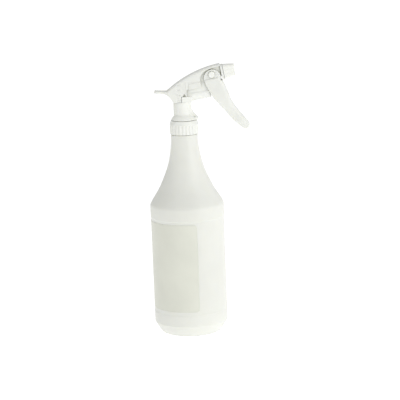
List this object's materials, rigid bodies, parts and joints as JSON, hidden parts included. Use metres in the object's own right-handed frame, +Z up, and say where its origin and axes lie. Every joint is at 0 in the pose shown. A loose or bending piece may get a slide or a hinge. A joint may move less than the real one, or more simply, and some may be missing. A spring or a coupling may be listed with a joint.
{
  "type": "spray bottle",
  "caption": "Round plastic bottle with sloping shoulders and a wrapped blank label, topped by a screw-on trigger sprayer with an arched shroud, thumb spur, curved trigger and twist nozzle",
  "frame": {"origin": "on the bottle's axis, on the plane it stands on", "axes": "+Z up; +X is the way the nozzle points; +Y completes the right hand, parallel to the trigger's pivot"},
  "size_m": [0.12, 0.0869, 0.3162],
  "materials": {
    "bottle_plastic": "blow-moulded natural polyethylene, milky, satin",
    "label_film": "blank satin film label",
    "closure_plastic": "moulded polypropylene, satin gloss",
    "sprayer_plastic": "moulded polypropylene, satin gloss",
    "shroud_plastic": "moulded polypropylene, satin gloss",
    "trigger_plastic": "moulded polypropylene, satin gloss",
    "nozzle_base_plastic": "moulded polypropylene, satin gloss",
    "nozzle_plastic": "moulded polypropylene, satin gloss",
    "valve_plastic": "moulded polyethylene, matt",
    "seal_plastic": "soft polyethylene",
    "tube_plastic": "extruded polyethylene tube, translucent",
    "seal_rubber": "foamed sealing ring, pale",
    "spring_steel": "stainless steel, bright drawn"
  },
  "bodies": {
    "bottle_group": {"bottle": "bottle_plastic", "label": "label_film"},
    "sprayer_head": {"sprayer_body": "sprayer_plastic", "shroud": "shroud_plastic", "neck_gasket": "seal_rubber", "tube_retainer": "valve_plastic", "dip_tube": "tube_plastic", "rod_guide": "valve_plastic", "return_spring": "spring_steel", "nozzle_base": "nozzle_base_plastic", "spinner": "valve_plastic", "outlet_spring": "spring_steel"},
    "closure_ring": {"closure": "closure_plastic"},
    "trigger_lever": {"trigger": "trigger_plastic"},
    "piston_group": {"piston_rod": "valve_plastic", "piston_cup": "seal_plastic"},
    "nozzle_group": {"nozzle_cap": "nozzle_plastic", "nozzle_seal": "seal_rubber"},
    "intake_check": {"intake_ball": "spring_steel"},
    "outlet_check": {"outlet_ball": "spring_steel"}
  },
  "joints": [
    {"name": "closure_turn", "type": "hinge", "parent": "sprayer_head", "child": "closure_ring", "pos_m": [0, 0, 0.2437], "axis": [0, 0, 1], "range_deg": [0, 540]},
    {"name": "sprayer_lift", "type": "slide", "parent": "bottle_group", "child": "sprayer_head", "axis": [0, 0, 1], "range_m": [0, 0.00635]},
    {"name": "trigger_pull", "type": "hinge", "parent": "sprayer_head", "child": "trigger_lever", "pos_m": [0.0344, 0, 0.3045], "axis": [0, 1, 0], "range_deg": [0, 22], "stiffness_Nm_per_rad": 0.9, "springref_deg": -6.88},
    {"name": "piston_slide", "type": "slide", "parent": "sprayer_head", "child": "piston_group", "axis": [-0.9848, 0, -0.1736], "range_m": [0, 0.00764], "deforming": ["return_spring"]},
    {"name": "nozzle_turn", "type": "hinge", "parent": "sprayer_head", "child": "nozzle_group", "pos_m": [0.05411, 0, 0.30787], "axis": [0.9848, 0, 0.1736], "continuous": true},
    {"name": "intake_ball_lift", "type": "slide", "parent": "sprayer_head", "child": "intake_check", "axis": [0, 0, 1], "range_m": [0, 0.0012]},
    {"name": "outlet_ball_lift", "type": "slide", "parent": "sprayer_head", "child": "outlet_check", "axis": [0.9848, 0, 0.1736], "range_m": [0, 0.0008], "stiffness_N_per_m": 60, "springref_m": -0.0008, "deforming": ["outlet_spring"]}
  ],
  "couplings": [
    {"joint": "closure_turn", "follows": "sprayer_lift", "rad_per_m": 1484.3},
    {"joint": "trigger_pull", "follows": "piston_slide", "rad_per_m": 50.266}
  ]
}
